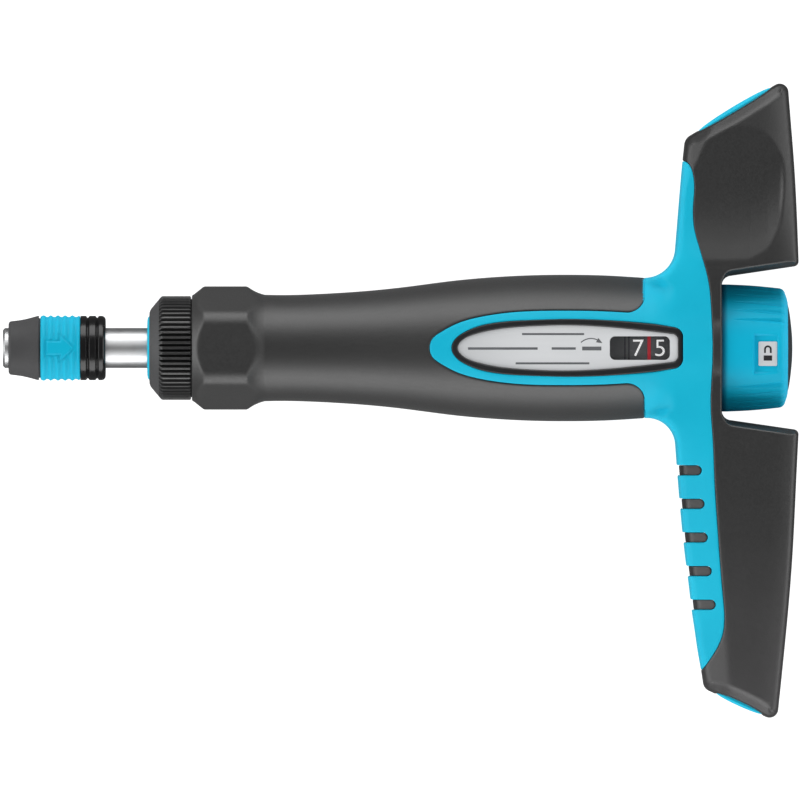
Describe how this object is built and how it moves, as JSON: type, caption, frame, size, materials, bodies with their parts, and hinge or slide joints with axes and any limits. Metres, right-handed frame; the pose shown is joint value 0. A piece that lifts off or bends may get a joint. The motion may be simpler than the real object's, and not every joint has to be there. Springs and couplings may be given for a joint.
{
  "type": "torque screwdriver",
  "caption": "T-handle torque screwdriver: quick-change hex bit holder, knurled lock ring, waisted soft grip with a scale window, and a setting knob between the two arms.",
  "frame": {"origin": "centre of the mouth of the bit socket, on the tool axis", "axes": "+X along the tool axis from the bit socket to the setting knob, +Y along the short arm, +Z out of the scale window"},
  "size_m": [0.1989, 0.1585, 0.0358],
  "materials": {
    "turquoise_plastic": "satin moulded plastic",
    "soft_black": "fine matt soft-touch texture",
    "cover_black": "fine satin grain, soft plastic",
    "sleeve_black": "satin black",
    "ring_black": "satin black, knurled",
    "bezel_dark": "dark satin",
    "cap_dark": "dark satin",
    "inner_black": "moulded",
    "drum_dark": "satin, pale printed numbers",
    "plate_metal": "fine brushed",
    "clear_window": "clear polished",
    "shaft_steel": "ground and plated",
    "steel": "machined",
    "spring_steel": "drawn wire",
    "bright_steel": "polished",
    "magnet": "plated",
    "tube_aluminium": "turned",
    "bronze": "sintered",
    "o_ring_rubber": "smooth"
  },
  "bodies": {
    "handle": {"handle_core": "turquoise_plastic", "grip_sleeve": "soft_black", "t_cover": "cover_black", "finger_inlays": "soft_black", "upper_end_plug": "turquoise_plastic", "lower_end_plug": "turquoise_plastic", "scale_bezel": "bezel_dark", "scale_plate": "plate_metal", "scale_lens": "clear_window", "mechanism_tube": "tube_aluminium", "tube_pins": "steel", "front_bearing": "bronze", "thrust_washer": "steel", "clutch_outer_plates": "bronze", "pressure_plate": "steel", "main_spring": "spring_steel", "spindle_thrust_washer": "steel", "tube_plug": "steel", "rear_cover": "inner_black", "knob_o_ring": "o_ring_rubber", "ring_o_ring": "o_ring_rubber"},
    "output_shaft": {"drive_shaft": "shaft_steel", "bit_magnet": "magnet", "bit_lock_ball": "bright_steel", "sleeve_stop_ring": "spring_steel", "chuck_spring": "spring_steel", "chuck_spring_seat": "steel", "seat_snap_ring": "spring_steel", "clutch_inner_plates": "steel"},
    "quick_sleeve": {"chuck_sleeve": "sleeve_black", "sleeve_grip_ring": "turquoise_plastic"},
    "lock_slider": {"lock_dog": "steel", "nose_flange": "turquoise_plastic", "lock_circlip": "spring_steel"},
    "lock_ring": {"lock_ring": "ring_black"},
    "setting": {"setting_spindle": "steel", "scale_drum": "drum_dark", "knob_washer": "steel", "knob_screw": "steel"},
    "knob": {"knob": "turquoise_plastic", "knob_cap": "cap_dark", "lock_symbol_plate": "plate_metal"},
    "spring_nut": {"spring_nut": "bronze"}
  },
  "joints": [
    {"name": "output_turn", "type": "hinge", "parent": "handle", "child": "output_shaft", "pos_m": [0.05, 0, 0], "axis": [1, 0, 0], "continuous": true},
    {"name": "sleeve_slide", "type": "slide", "parent": "output_shaft", "child": "quick_sleeve", "axis": [1, 0, 0], "range_m": [0, 0.003], "stiffness_N_per_m": 600, "springref_m": -0.004, "deforming": ["chuck_spring"]},
    {"name": "lock_slide", "type": "slide", "parent": "handle", "child": "lock_slider", "axis": [-1, 0, 0], "range_m": [0, 0.003]},
    {"name": "lock_turn", "type": "hinge", "parent": "lock_slider", "child": "lock_ring", "pos_m": [0.042, 0, 0], "axis": [1, 0, 0], "range_deg": [0, 90]},
    {"name": "setting_turn", "type": "hinge", "parent": "handle", "child": "setting", "pos_m": [0.17, 0, 0], "axis": [-1, 0, 0], "range_deg": [-189, 135]},
    {"name": "nut_slide", "type": "slide", "parent": "handle", "child": "spring_nut", "axis": [-1, 0, 0], "range_m": [-0.00526, 0.00376], "deforming": ["main_spring"]},
    {"name": "knob_lock", "type": "slide", "parent": "setting", "child": "knob", "axis": [-1, 0, 0], "range_m": [0, 0.002]}
  ],
  "couplings": [
    {"joint": "lock_slide", "follows": "lock_turn", "m_per_rad": 0.0019099},
    {"joint": "nut_slide", "follows": "setting_turn", "m_per_rad": 0.0015915}
  ]
}
